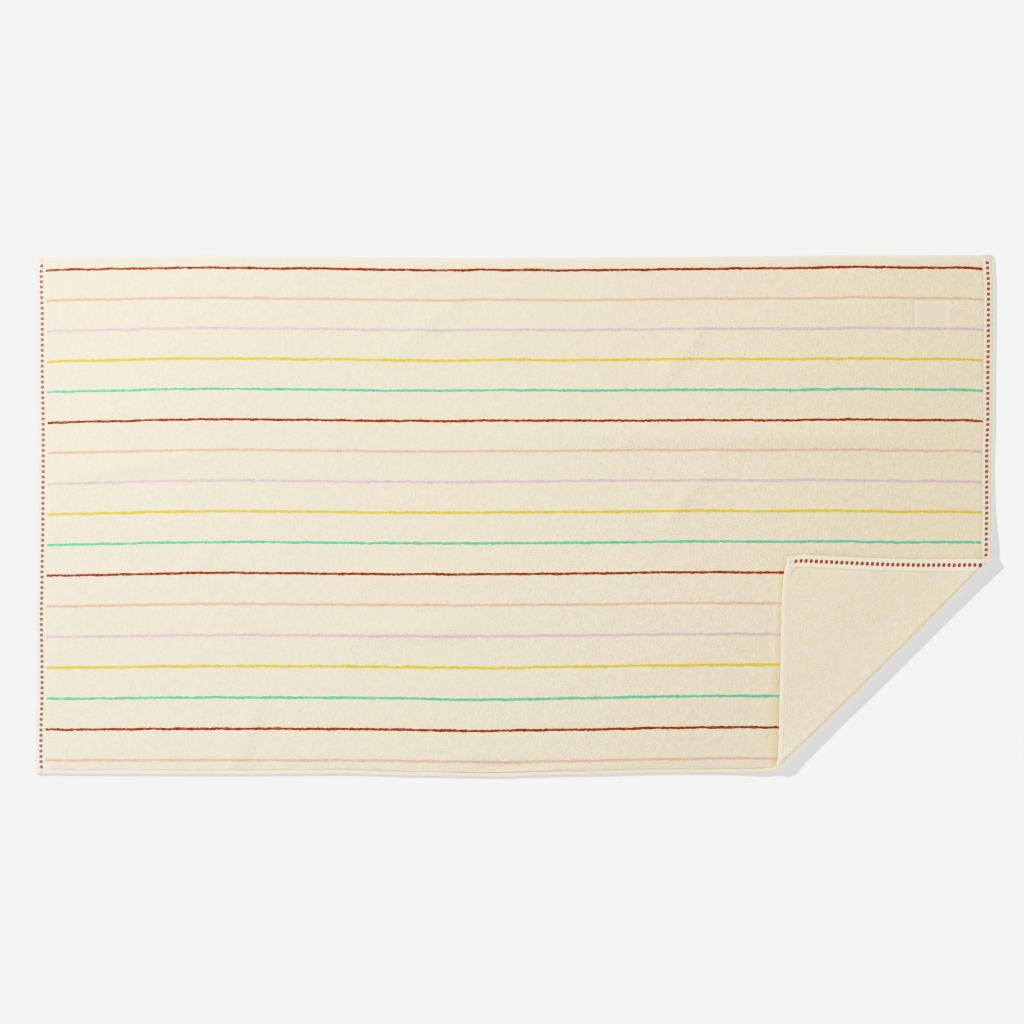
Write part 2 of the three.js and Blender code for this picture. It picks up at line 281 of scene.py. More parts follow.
def local_share(u, v, x, y, half_length, half_width, turn=0.0):
    """1 at a middle and 0 away from it, with a soft run between."""
    along_x = math.cos(turn)
    along_y = math.sin(turn)
    run = ((u - x) * along_x + (v - y) * along_y) / half_length
    side = ((v - y) * along_x - (u - x) * along_y) / half_width
    return np.exp(-run**4 - side**2)


def crease_height(u, v):
    """Height that the soft creases add at each place."""
    return sum(height * local_share(u, v, *place) for *place, height in CREASES)


def nap_slope(u, v):
    """Slope of the soft creases towards the key light, for their painted light and shade."""
    along = crease_height(u + SLOPE_REACH, v) - crease_height(u - SLOPE_REACH, v)
    across = crease_height(u, v + SLOPE_REACH) - crease_height(u, v - SLOPE_REACH)
    return -(along * KEY_HEADING[0] + across * KEY_HEADING[1]) / (2 * SLOPE_REACH)


def weft_place(u, v):
    """Where each place lies across the towel, counted in stripes that are straight."""
    across = laid_out(u, v)[1]
    share = (v + HALF_WIDTH) / WIDTH
    edges = share * eased(TOP_STRIPE, u) - (1 - share) * eased(BOTTOM_STRIPE, u)
    bow = eased(WEFT_BOW, u) * (1 - (v / HALF_WIDTH) ** 2)
    pull = sum(down * local_share(u, v, *place) for *place, down in WEFT_PULLS)
    return across - edges - bow + pull


def face_height(u, v):
    from_end = HALF_LENGTH - np.abs(u)
    from_side = HALF_WIDTH - np.abs(v)
    end = np.interp(from_end, FACE_SECTION["end_inset"], FACE_SECTION["end_height"])
    side = np.interp(from_side, FACE_SECTION["side_inset"], FACE_SECTION["side_height"])
    turns = [u / run_x + v / run_y + start for run_x, run_y, start in SWELLS]
    swell = SWELL_HEIGHT * sum(np.sin(2 * math.pi * turn) for turn in turns) / len(SWELLS)
    inside = smooth(np.minimum(from_end - SWELL_INSET, from_side), 0, SWELL_RUN)
    half_shoulder = PATCH["shoulder"] / 2
    within_length = PATCH["length"] / 2 - np.abs(u - PATCH["x"])
    within_width = PATCH["width"] / 2 - np.abs(v - PATCH["y"])
    within = np.minimum(within_length, within_width)
    recess = PATCH["depth"] * smooth(within, -half_shoulder, half_shoulder)
    return np.minimum(end, side) + inside * swell + crease_height(u, v) - recess


def back_height(u, v):
    from_end = HALF_LENGTH - np.abs(u)
    from_side = HALF_WIDTH - np.abs(v)
    end = np.interp(from_end, BACK_SECTION["end_inset"], BACK_SECTION["end_height"])
    side = np.interp(from_side, BACK_SECTION["side_inset"], BACK_SECTION["side_height"])
    return np.where(from_side < BACK_CORNER, side, np.maximum(end, side))


def crossing(distance, end_inset=0.0, side_inset=0.0):
    """Where a line parallel to the fold enters and leaves the rectangle, or one set into it."""
    limits = ((HALF_LENGTH - end_inset, 0), (HALF_WIDTH - side_inset, 1))
    enters = max((-half - distance * ACROSS[axis]) / ALONG[axis] for half, axis in limits)
    leaves = min((half - distance * ACROSS[axis]) / ALONG[axis] for half, axis in limits)
    return enters, leaves


def inset_place(place, inset):
    return (
        min(max(place[0], inset - HALF_LENGTH), HALF_LENGTH - inset),
        min(max(place[1], inset - HALF_WIDTH), HALF_WIDTH - inset),
    )


def row_for(wanted):
    """The row on the rectangle whose middle comes to lie at this distance across the fold."""
    distance = wanted
    for _ in range(PLACING_TURNS):
        middle = ACROSS * distance + ALONG * sum(crossing(distance)) / 2
        x, y = laid_out(middle[:1], middle[1:])
        distance += wanted - (x[0] * ACROSS[0] + y[0] * ACROSS[1])
    return distance


def row_distances():
    """Distances of the mesh rows: even, with closer ones at the corners, the patch and the fold."""
    ends, sides = (-HALF_LENGTH, HALF_LENGTH), (-HALF_WIDTH, HALF_WIDTH)
    corners = sorted(x * ACROSS[0] + y * ACROSS[1] for x in ends for y in sides)
    loop_start, drop_start, drop_end = (row_for(d) for d in (LOOP_CENTRE, DROP_START, DROP_START + DROP_RUN))

    def from_corner(distance):
        return min(abs(distance - corner) for corner in corners)

    def spacing(distance):
        if loop_start - LOOP_SPACING < distance < drop_start:
            return LOOP_SPACING
        if drop_start <= distance < drop_end:
            return DROP_SPACING
        near_corner = from_corner(distance) < CORNER_REACH
        near_patch = abs(distance - PATCH_DISTANCE) < PATCH_REACH
        return FINE_SPACING if near_corner or near_patch else CLOTH_SPACING

    rows = [corners[0]]
    while rows[-1] < corners[-1]:
        rows.append(rows[-1] + spacing(rows[-1]))
    inside = [row for row in rows if row < corners[-1] and from_corner(row) > LOOP_SPACING]
    return sorted(inside + corners)


def even_steps(start, end, spacing):
    count = max(1, round((end - start) / spacing))
    return [start + (end - start) * number / count for number in range(1, count)]


def inner_travels(start, end, distance):
    """Even steps between two places of a row, closer over the patch."""
    patch_travel = PATCH["x"] * ALONG[0] + PATCH["y"] * ALONG[1]
    first, last = patch_travel - PATCH_REACH, patch_travel + PATCH_REACH
    if abs(distance - PATCH_DISTANCE) > PATCH_REACH or first < start or last > end:
        return even_steps(start, end, CLOTH_SPACING)
    before = even_steps(start, first, CLOTH_SPACING) + [first]
    return before + even_steps(first, last, FINE_SPACING) + [last] + even_steps(last, end, CLOTH_SPACING)


class ClothMesh:
    """Collects the vertices and triangles of the cloth, row by row."""

    def __init__(self):
        self.vertices = []
        self.triangles = []
        self.face_side = []

    def add(self, place, on_face, height=math.nan):
        self.vertices.append((*place, height, on_face))
        return len(self.vertices) - 1

    def triangle(self, a, b, c, face_side):
        if a != b and b != c and c != a:
            self.triangles.append((a, b, c))
            self.face_side.append(face_side)

    def strip(self, one, other, sides):
        for column, face_side in enumerate(sides):
            a, b = one[column], one[column + 1]
            c, d = other[column], other[column + 1]
            self.triangle(a, c, d, face_side)
            self.triangle(a, d, b, face_side)

    def zip_rows(self, one, other, face_side):
        """Triangles between two rows of unequal counts. A row is a list of (travel, vertex)."""
        i = j = 0
        while i < len(one) - 1 or j < len(other) - 1:
            next_one = one[i + 1][0] if i < len(one) - 1 else math.inf
            next_other = other[j + 1][0] if j < len(other) - 1 else math.inf
            if next_one <= next_other:
                self.triangle(one[i][1], other[j][1], one[i + 1][1], face_side)
                i += 1
            else:
                self.triangle(one[i][1], other[j][1], other[j + 1][1], face_side)
                j += 1


def side_of_row(cloth, distance, section, on_face):
    """Vertices of one row on the face or the reverse: both hems' stations and the steps between."""
    outer_start, outer_end = crossing(distance)
    middle = (outer_start + outer_end) / 2
    insets = list(zip(section["end_inset"], section["side_inset"]))
    is_tip = outer_end - outer_start < SMALLEST_STEP
    starts, ends = [], []
    for number, (end_inset, side_inset) in enumerate(insets):
        start, end = crossing(distance, end_inset, side_inset)
        spare = (len(insets) - number) * SMALLEST_STEP
        starts.append(min(start, middle - spare))
        ends.append(max(end, middle + spare))

    def vertex(travel):
        return cloth.add(ACROSS * distance + ALONG * travel, on_face)

    def edge_vertex(travel):
        place = inset_place(ACROSS * distance + ALONG * travel, section["end_inset"][0])
        return cloth.add(place, on_face)

    if is_tip:
        tip = edge_vertex(middle)
        return [tip] * len(insets), [(middle, tip), (middle, tip)], [tip] * len(insets)
    start_chain = [edge_vertex(outer_start)] + [vertex(travel) for travel in starts[1:]]
    end_chain = [edge_vertex(outer_end)] + [vertex(travel) for travel in ends[1:]]
    inner = [(travel, vertex(travel)) for travel in inner_travels(starts[-1], ends[-1], distance)]
    inner = [(starts[-1], start_chain[-1])] + inner + [(ends[-1], end_chain[-1])]
    return start_chain, inner, end_chain


def rim_chain(cloth, distance, travel):
    place = ACROSS * distance + ALONG * travel
    section = zip(RIM["inset"], RIM["height"])
    return [cloth.add(inset_place(place, inset), True, height) for inset, height in section]


def cloth_row(cloth, distance):
    """One row all round the cloth: start chain, face, end chain and reverse, in one turning direction."""
    outer_start, outer_end = crossing(distance)
    face_start, face_inner, face_end = side_of_row(cloth, distance, FACE_SECTION, True)
    back_start, back_inner, back_end = side_of_row(cloth, distance, BACK_SECTION, False)
    rim_start = rim_chain(cloth, distance, outer_start)
    is_tip = outer_end - outer_start < SMALLEST_STEP
    rim_end = rim_start if is_tip else rim_chain(cloth, distance, outer_end)
    return {
        "start": back_start[::-1] + rim_start + face_start,
        "face": face_inner,
        "end": face_end[::-1] + rim_end[::-1] + back_end,
        "back": [(-travel, vertex) for travel, vertex in back_inner[::-1]],
    }


def build_cloth():
    """The closed cloth mesh, with places on the flat towel as its UV maps."""
    cloth = ClothMesh()
    rows = [cloth_row(cloth, distance) for distance in row_distances()]
    face_count = len(FACE_SECTION["end_inset"])
    back_count = len(BACK_SECTION["end_inset"])
    start_sides = [False] * (back_count + 1) + [True] * (face_count + 1)
    end_sides = start_sides[::-1]
    for row, following in zip(rows, rows[1:]):
        cloth.strip(row["start"], following["start"], start_sides)
        cloth.strip(row["end"], following["end"], end_sides)
        cloth.zip_rows(row["face"], following["face"], True)
        cloth.zip_rows(row["back"], following["back"], False)
    return cloth


def mesh_from(cloth):
    """The Blender mesh: folded, with both materials' sides and the maps that they read."""
    u, v, given, on_face = np.array(cloth.vertices).T
    height = np.where(on_face, face_height(u, v), back_height(u, v))
    height = np.where(np.isnan(given), height, given)
    points = folded(u, v, height)
    mesh = bpy.data.meshes.new("towel_cloth")
    mesh.from_pydata(points.tolist(), [], cloth.triangles)
    mesh.polygons.foreach_set("use_smooth", [True] * len(mesh.polygons))
    sides = np.array(cloth.face_side)
    mesh.polygons.foreach_set("material_index", np.where(sides, 0, 1))
    corners = np.array(cloth.triangles).ravel()
    corner_side = np.repeat(sides, 3)
    # The Weft map holds the creases' slope towards the key, for their painted light and shade, and each
    # place across the stripes
    for name, along, across in (("Place", u, v), ("Weft", nap_slope(u, v), weft_place(u, v))):
        layer = mesh.uv_layers.new(name=name)
        layer.data.foreach_set("uv", np.stack((along[corners], across[corners]), axis=-1).ravel())
    across_map = (u[corners] + HALF_LENGTH) / LENGTH * BAKE_ACROSS[1] + BAKE_ACROSS[0]
    up_map = (v[corners] + HALF_WIDTH) / WIDTH
    face_map = BAKE_FACE[0] + BAKE_FACE[1] * up_map
    up_map = np.where(corner_side, face_map, BAKE_BACK[0] + BAKE_BACK[1] * up_map)
    baking = mesh.uv_layers.new(name="OFBake")
    baking.data.foreach_set("uv", np.stack((across_map, up_map), axis=-1).ravel())
    mesh.uv_layers.active = baking
    mesh.update()
    return mesh


class Field:
    """A number that varies over the cloth: the output of a shader node, open to arithmetic."""

    def __init__(self, tree, output):
        self.tree = tree
        self.output = output

    def math(self, operation, *others):
        node = self.tree.nodes.new("ShaderNodeMath")
        node.operation = operation
        for place, value in enumerate((self, *others)):
            plug(self.tree, value, node.inputs[place])
        return Field(self.tree, node.outputs[0])

    def size(self):
        return self.math("ABSOLUTE")

    def turned(self):
        return (self * -1) + 1

    def near(self, middle, begins, full):
        """1 near the middle, with soft runs down to 0 on both sides of it."""
        return (self - middle).size().smooth(begins, full)

    def smooth(self, low, high):
        """0 at low and 1 at high, with a soft run between them."""
        node = self.tree.nodes.new("ShaderNodeMapRange")
        node.interpolation_type = "SMOOTHSTEP"
        plug(self.tree, self, node.inputs["Value"])
        node.inputs["From Min"].default_value = low
        node.inputs["From Max"].default_value = high
        return Field(self.tree, node.outputs["Result"])


def pair_method(operation):
    return lambda one, other: one.math(operation, other)


Field.__add__ = pair_method("ADD")
Field.__sub__ = pair_method("SUBTRACT")
Field.__mul__ = pair_method("MULTIPLY")
Field.__truediv__ = pair_method("DIVIDE")
Field.least = pair_method("MINIMUM")
Field.most = pair_method("MAXIMUM")


def plug(tree, value, socket):
    """Gives a socket a field, a colour or a plain number."""
    if isinstance(value, Field):
        tree.links.new(value.output, socket)
    elif isinstance(value, (tuple, list)):
        socket.default_value = tuple(value) if len(value) == len(socket.default_value) else (*value, 1.0)
    else:
        socket.default_value = value


def set_inputs(tree, node, values):
    for name, value in values.items():
        plug(tree, value, node.inputs[name])


class Cloth:
    """A material under construction, with the places on the flat towel as its fields."""

    def __init__(self, name):
        self.material = bpy.data.materials.new(name)
        self.material.use_nodes = True
        self.tree = self.material.node_tree
        self.surface = self.tree.nodes["Principled BSDF"]
        self.u, self.v = self.map_axes("Place")
        self.nap, self.weft = self.map_axes("Weft")
        self.from_end = (self.u.size() * -1) + HALF_LENGTH
        self.from_side = (self.v.size() * -1) + HALF_WIDTH
        self.right_half = self.u.smooth(-MIDDLE_RUN, MIDDLE_RUN)
        self.rightness = (self.u / LENGTH) + 0.5
        # Paler on the left and yellower on the right: painted light and shade after the key's fall-off
        self.cream = self.mix(self.rightness, CREAM_LEFT, CREAM_RIGHT)
        self.pale = self.mix(self.rightness, PALE_LEFT, PALE_RIGHT)

    def node(self, kind):
        return self.tree.nodes.new("ShaderNode" + kind)

    def map_axes(self, name):
        layer = self.node("UVMap")
        layer.uv_map = name
        axes = self.node("SeparateXYZ")
        self.tree.links.new(layer.outputs["UV"], axes.inputs[0])
        return Field(self.tree, axes.outputs["X"]), Field(self.tree, axes.outputs["Y"])

    def by_end(self, left, right):
        """One number on the left half and another on the right half."""
        return self.right_half * (right - left) + left

    def noise(self, name):
        """Soft noise about zero from the table, up to half its strength either way."""
        along, across, place, detail, strength = NOISES[name]
        vector = self.node("CombineXYZ")
        plug(self.tree, self.u / along, vector.inputs[0])
        plug(self.tree, self.v / across, vector.inputs[1])
        vector.inputs[2].default_value = place
        node = self.node("TexNoise")
        node.inputs["Scale"].default_value = 1.0
        node.inputs["Detail"].default_value = detail
        self.tree.links.new(vector.outputs[0], node.inputs["Vector"])
        return (Field(self.tree, node.outputs[0]) - 0.5) * strength

    def wave(self, value, pitch):
        """A sine of a field, from -1 to 1."""
        return (value * (2 * math.pi / pitch)).math("SINE")

    def weave(self):
        """The plain weave of the bare bands, from -1 to 1."""
        return self.wave(self.u, WEAVE["along"]) * self.wave(self.v, WEAVE["across"])

    def mix(self, share, one, other):
        node = self.node("Mix")
        node.data_type = "RGBA"
        sockets = {socket.identifier: socket for socket in node.inputs}
        plug(self.tree, share, sockets["Factor_Float"])
        plug(self.tree, one, sockets["A_Color"])
        plug(self.tree, other, sockets["B_Color"])
        result = next(socket for socket in node.outputs if socket.identifier == "Result_Color")
        return Field(self.tree, result)

    def shade(self, colour, factor):
        """A colour made lighter or darker by a field about one."""
        node = self.node("VectorMath")
        node.operation = "SCALE"
        plug(self.tree, colour, node.inputs[0])
        plug(self.tree, factor, node.inputs["Scale"])
        return Field(self.tree, node.outputs[0])

    def pick(self, share, colours):
        """One of several colours, in equal steps of a field from 0 to 1."""
        ramp = self.node("ValToRGB")
        ramp.color_ramp.interpolation = "CONSTANT"
        elements = ramp.color_ramp.elements
        while len(elements) < len(colours):
            elements.new(1.0)
        for number, colour in enumerate(colours):
            elements[number].position = number / len(colours)
        for number, colour in enumerate(colours):
            elements[number].color = (*colour, 1.0)
        plug(self.tree, share, ramp.inputs[0])
        return Field(self.tree, ramp.outputs[0])

    def finish(self, colour, height_mm):
        """Sets colour, gloss and relief. The height is in millimetres."""
        bump = self.node("Bump")
        set_inputs(self.tree, bump, {"Distance": MILLIMETRE, "Height": height_mm})
        self.tree.links.new(bump.outputs[0], self.surface.inputs["Normal"])
        set_inputs(self.tree, self.surface, {
            "Base Color": colour, "Roughness": CLOTH_ROUGHNESS, "Specular IOR Level": CLOTH_SPECULAR,
            "Sheen Weight": SHEEN, "Sheen Roughness": SHEEN_ROUGHNESS,
        })
        return self.material


def linear(red, green, blue):
    """A colour given as on a display, 0 to 255, as the shader needs it."""
    parts = [part / 255 for part in (red, green, blue)]
    return tuple(part / 12.92 if part <= 0.04045 else ((part + 0.055) / 1.055) ** 2.4 for part in parts)


# Colours, as on a display. Each left and right pair goes over into the other along the towel, paler on the
# left and yellower on the right: painted light and shade after the key's fall-off.
CREAM_LEFT = linear(236, 229, 211)
CREAM_RIGHT = linear(236, 223, 194)
PALE_LEFT = linear(238, 234, 223)
PALE_RIGHT = linear(239, 232, 214)
DOT_LEFT = linear(180, 102, 68)
DOT_RIGHT = linear(181, 84, 48)
DOT_BACK = linear(170, 78, 46)
# Painted shade, along the reverse's seams and in the crease at the flap's tip
PAINTED_SEAM_AND_CREASE_SHADE = linear(206, 184, 142)
# Warm painted shade, beside the flap's edge and on the rounded fold
WARM_PAINTED_SHADE = linear(212, 190, 130)
SMEAR = linear(236, 212, 200)
# Painted shade, in the face's seam grooves and the right end band's line
PAINTED_SEAM_SHADE = linear(212, 194, 160)
THREAD = linear(232, 220, 190)

# Surface of the cloth and of its thread
CLOTH_ROUGHNESS = 0.95
CLOTH_SPECULAR = 0.15
SHEEN = 0.1
SHEEN_ROUGHNESS = 0.6
THREAD_ROUGHNESS = 0.7

# Noise over the cloth: run along the towel, run across it, place in the noise, detail and strength
NOISES = {
    "dot_edge": (0.0016, 0.0016, 3.0, 2.0, 0.9),
    "end_band": (0.004, 0.0022, 5.0, 2.0, 0.001),
    "side_band": (0.003, 0.003, 6.0, 2.0, 0.0012),
    "back_band": (0.003, 0.003, 5.5, 2.0, 0.001),
    "patch_edge": (0.002, 0.002, 7.0, 2.0, 0.0012),
    "long_wander": (0.03, 0.06, 11.0, 2.0, 0.0026),
    "short_wander": (0.0045, 0.004, 12.0, 3.0, 0.0028),
    "fray": (0.0012, 0.003, 13.0, 2.0, 0.0012),
    "stripe_width": (0.011, 0.02, 14.0, 2.0, 0.0012),
    "stripe_cover": (0.009, 0.01, 15.0, 3.0, 1.0),
    "side_seam": (0.022, 1.0, 21.0, 3.0, 1.0),
    "end_line": (0.004, 0.006, 22.0, 2.0, 0.0016),
    "clouds": (0.055, 0.05, 31.0, 3.0, 0.045),
    "grain": (0.0034, 0.01, 32.0, 2.0, 0.17),
    "tufts": (0.0022, 0.0022, 33.0, 3.0, 0.38),
    "mottles": (0.011, 0.009, 34.0, 2.0, 1.0),
    "fine_pile": (0.0022, 0.0022, 41.0, 2.0, 0.5),
    "long_pile": (0.0034, 0.01, 42.0, 2.0, 0.6),
    "broad_pile": (0.013, 0.016, 43.0, 2.0, 0.9),
    "back_clouds": (0.04, 0.04, 51.0, 3.0, 0.035),
    "rib_wander": (0.05, 0.01, 52.0, 2.0, 0.001),
    "back_tufts": (0.0021, 0.0019, 53.0, 3.0, 0.4),
    "rib_tone": (0.03, 0.02, 54.0, 2.0, 0.12),
    "back_mottles": (0.012, 0.01, 55.0, 2.0, 1.0),
    "fine_loops": (0.0018, 0.0017, 61.0, 2.0, 0.65),
    "broad_loops": (0.009, 0.011, 63.0, 2.0, 0.45),
}

# Bare bands: the insets from the edge between which the pile starts, and the same for the patch
END_BAND = (0.0139, 0.0129)
SIDE_BAND = (0.0096, 0.0084)
BACK_END_BAND = (0.0168, 0.0158)
BACK_SIDE_BAND = (0.0098, 0.009)
PATCH_EDGE = (-0.0003, 0.0005)

# The two paler strips across the patch. Lines and bands like these are given by their middle, and by how far
# from it they begin and are full.
PATCH_STRIP = (0.0034, 0.003, 0.0016)
PATCH_PALENESS = 0.38
STRIP_PALENESS = 0.38

# Plain weave of the bare bands: its pitch along and across, and its share in colour and in relief
WEAVE = {"along": 0.0011, "across": 0.001, "tone": 0.03, "height_mm": 0.05}

# Stripes: the first one's place across the towel, the way to the next, and their colours and widths in turn
STRIPE_FIRST = 0.335
STRIPE_PITCH = 0.04174
STRIPES = (
    {"colour": linear(158, 56, 19), "width": 0.0034},
    {"colour": linear(228, 195, 169), "width": 0.0036},
    {"colour": linear(217, 197, 201), "width": 0.0039},
    {"colour": linear(227, 203, 74), "width": 0.0037},
    {"colour": linear(112, 204, 166), "width": 0.0035},
)
STRIPE_EDGE = 0.00045
WIDTH_IN_RAMP = 100

# How well a stripe's colour covers: everywhere, past the paler left end, towards the right, and in patches.
# Paler on the left and fuller towards the right is painted light and shade after the key's fall-off.
STRIPE_COVER = {"least": 0.83, "past_left_fade": 0.02, "right": 0.05, "patches": 0.17}
STRIPE_LEFT_FADE = (-0.62, -0.15)
STRIPE_PATCHES = (-0.2, 0.12)

# Dots woven into the end hems. A pair is for the left and the right end.
FACE_DOTS = {
    "inset": (0.0075, 0.0067), "first": (0.34, 0.3406),
    "length": 0.0045, "width": 0.0042, "pitch": 0.00717, "row_end": (0.3445, 0.3435),
}
BACK_DOTS = {
    "inset": 0.008, "first": 0.3408,
    "length": 0.005, "width": 0.0043, "pitch": 0.00715, "row_end": (0.3415, 0.3395),
}
DOT_LEAN = 0.03
DOT_SQUARENESS = 4.0
DOT_EDGE = (1.7, 0.35)
DOT_COVER = 0.95
DOT_HEIGHT_MM = 0.25
SMEAR_EDGE = (0.003, 0.0014)
SMEAR_COVER = 0.55
BACK_DOT_COVER = {"past_row": 0.2, "in_row": 0.8}

# Painted shade in the seam's groove beside the long edges, stronger where the lower edge bulges and weak
# along the top edge, which faces the key
SIDE_SEAM = (0.0074, 0.0013, 0.0004)
SEAM_BULGE = (-0.005, 0.1, 0.05)
SEAM_UNEVEN = (-0.12, 0.16)
SEAM_COVER = {"least": 0.42, "uneven": 0.3, "bulge": 0.3}
SEAM_ON_TOP = 0.15

# Thin line of painted shade inside the right end band
END_LINE = (0.0134, 0.0012, 0.0002)
END_LINE_COVER = 0.35

# The line on the face over which the flap's edge lies, and where along it the flap's tip ends
FLAP_FOOT = {"x": 0.3587, "y": 0.306, "slant": 0.0314, "top": 0.07, "top_run": 0.008}

# The painted shade and the painted light beside the flap's edge. Both are wider or stronger in its lower
# part.
FOOT_LOW_PART = (-0.275, 0.085, 0.03)
PAINTED_FOOT_SHADE = {"reach": 0.0055, "reach_low": 0.009, "cover": 0.15, "cover_low": 0.2}
PAINTED_FOOT_LIGHT = {"reach": 0.014, "edge": (1.0, 0.2), "tone": 0.06}

# Pile tone: livelier on the left, calmer from here to there along the towel and in its lower part
LIVELY_LEFT = 1.4
CALM_RIGHT = {"run": (0.1, 0.5), "by": 0.5}
CALM_LOW = {"run_down": (-0.08, -0.22), "run_along": (-0.3, 0.0), "by": 0.27}
BARE_TONE_SHARE = 0.25
BACK_BARE_TONE_SHARE = 0.2
MOTTLE_RUN = (-0.14, 0.14)
MOTTLE_PALENESS = 0.32
BACK_MOTTLES = {"least": 0.15, "paleness": 0.4}

# The reverse: its lightness, ribs and the painted shade along its seams
BACK_TONE = 1.03
BACK_BARE_TONE = 0.02
RIB_PITCH = 0.0038
RIB_HEIGHT_MM = 0.05
BACK_END_SEAM = (0.0167, 0.001, 0.0001)
BACK_OUTER_SEAM = (0.007, 0.0009, 0.0001)
BACK_INNER_SEAM = (0.0096, 0.0009, 0.0001)
OUTER_SEAM_SHARE = 0.7
INNER_SEAM_SHARE = 0.6
BACK_SEAM_SHADE = 0.28

# The crease across the flap's tip: a quarter of a circle, dented in the relief and with painted shade in its
# colour
TIP_CREASE = {"from_end": 0.0285, "from_side": 0.022, "arc": (0.012, 0.0012, 0.0001)}
TIP_CREASE_RUN = 0.001
TIP_CREASE_SHADE = 0.45
TIP_CREASE_DEPTH_MM = 0.5

# The rounded fold on the reverse is warmer and lighter between these distances across the fold: warm painted
# shade mixed in, and painted light
ON_FOLD = {"start": 0.48, "start_run": 0.006, "end": 0.5065, "end_run": 0.01, "cover": 0.18, "tone": 0.045}


def dot_mask(cloth, centre, first, dots):
    """Woven dots in a row beside an end: rounded squares, each a little slanted."""
    slant = (cloth.from_end - centre) * DOT_LEAN
    turn = ((cloth.v - first) + slant) / dots["pitch"]
    beside = (turn - turn.math("ROUND")).size() * dots["pitch"]
    outwards = (cloth.from_end - centre).size()
    squared_out = (outwards / (dots["length"] / 2)).math("POWER", DOT_SQUARENESS)
    squared_beside = (beside / (dots["width"] / 2)).math("POWER", DOT_SQUARENESS)
    return (squared_out + squared_beside + cloth.noise("dot_edge")).smooth(*DOT_EDGE)


def face_dots(cloth, end_band):
    """The dots on the face, and the smear of their colour past both ends of the row."""
    centre = cloth.by_end(*FACE_DOTS["inset"])
    first = cloth.by_end(*FACE_DOTS["first"])
    in_row = cloth.v.size().smooth(*FACE_DOTS["row_end"])
    smear = cloth.from_end.near(centre, *SMEAR_EDGE) * in_row.turned() * end_band
    return dot_mask(cloth, centre, first, FACE_DOTS) * in_row, smear


def patch_fields(cloth):
    """Where the patch lies, and its paler strips."""
    across_patch = (cloth.u - PATCH["x"]).size() * -1 + PATCH["length"] / 2
    up_patch = (cloth.v - PATCH["y"]).size() * -1 + PATCH["width"] / 2
    in_patch = (across_patch.least(up_patch) + cloth.noise("patch_edge")).smooth(*PATCH_EDGE)
    return in_patch, across_patch.near(*PATCH_STRIP) * in_patch


def stripe_fields(cloth, pile):
    """How much a stripe covers each place, and its colour."""
    wander = cloth.noise("long_wander") + cloth.noise("short_wander")
    turn = ((cloth.weft * -1) + STRIPE_FIRST + wander) / STRIPE_PITCH
    number = turn.math("ROUND")
    beside = (turn - number).size() * STRIPE_PITCH
    colour_share = ((number + 0.5) / len(STRIPES)).math("FRACT")
    widths = [(row["width"] * WIDTH_IN_RAMP,) * 3 for row in STRIPES]
    half = cloth.pick(colour_share, widths) / WIDTH_IN_RAMP * 0.5 + cloth.noise("stripe_width")
    stripe = (beside + cloth.noise("fray") - half).smooth(STRIPE_EDGE, -STRIPE_EDGE) * pile
    patches = cloth.noise("stripe_cover").smooth(*STRIPE_PATCHES) * STRIPE_COVER["patches"]
    # Paler at the left end and fuller towards the right: painted light and shade after the key's fall-off
    past_left_fade = cloth.u.smooth(*STRIPE_LEFT_FADE) * STRIPE_COVER["past_left_fade"]
    cover = past_left_fade + cloth.rightness * STRIPE_COVER["right"] + STRIPE_COVER["least"] + patches
    return stripe * cover.least(1.0), cloth.pick(colour_share, [row["colour"] for row in STRIPES])


def face_seam_shade(cloth, end_band, side_band):
    """Painted shade in the seams' grooves beside the long edges and in the line inside the right end band.
    """
    seam = cloth.from_side.near(*SIDE_SEAM) * end_band.turned()
    bulge = cloth.u.near(*SEAM_BULGE) * cloth.v.smooth(0.0, -MIDDLE_RUN)
    uneven = cloth.noise("side_seam").smooth(*SEAM_UNEVEN)
    seam = seam * (uneven * SEAM_COVER["uneven"] + bulge * SEAM_COVER["bulge"] + SEAM_COVER["least"])
    seam = seam * (cloth.v.smooth(0.01, -0.01) * (1 - SEAM_ON_TOP) + SEAM_ON_TOP)
    line = (cloth.from_end + cloth.noise("end_line")).near(*END_LINE)
    return seam.most(line * side_band.turned() * cloth.right_half * END_LINE_COVER)


def beside_flap(cloth):
    """Painted shade on the face beside the flap's edge, and painted light there."""
    gap = (cloth.v + FLAP_FOOT["y"]) * FLAP_FOOT["slant"] + FLAP_FOOT["x"] - cloth.u
    below_tip = (cloth.v + FLAP_FOOT["top"]).smooth(0.0, -FLAP_FOOT["top_run"])
    low_part = cloth.v.near(*FOOT_LOW_PART)
    reach = low_part * PAINTED_FOOT_SHADE["reach_low"] + PAINTED_FOOT_SHADE["reach"]
    shade = (gap / reach).smooth(1.0, 0.0) * below_tip
    glow = (gap / PAINTED_FOOT_LIGHT["reach"]).smooth(*PAINTED_FOOT_LIGHT["edge"]) * below_tip
    return shade * (low_part * PAINTED_FOOT_SHADE["cover_low"] + PAINTED_FOOT_SHADE["cover"]), glow * PAINTED_FOOT_LIGHT["tone"]


def pile_tone(cloth, pile):
    """Lightness of the pile about one, with painted light and shade on the creases by their slope towards
    the key.
    """
    calm_right = cloth.u.smooth(*CALM_RIGHT["run"]) * -CALM_RIGHT["by"] + LIVELY_LEFT
    low_right = cloth.v.smooth(*CALM_LOW["run_down"]) * cloth.u.smooth(*CALM_LOW["run_along"])
    lively = calm_right * (low_right * -CALM_LOW["by"] + 1.0)
    texture = cloth.noise("clouds") + cloth.noise("grain") + cloth.noise("tufts")
    on_bare = pile * (1 - BARE_TONE_SHARE) + BARE_TONE_SHARE
    return texture * lively * on_bare + cloth.nap * PAINTED_CREASE_LIGHT * pile + 1.0


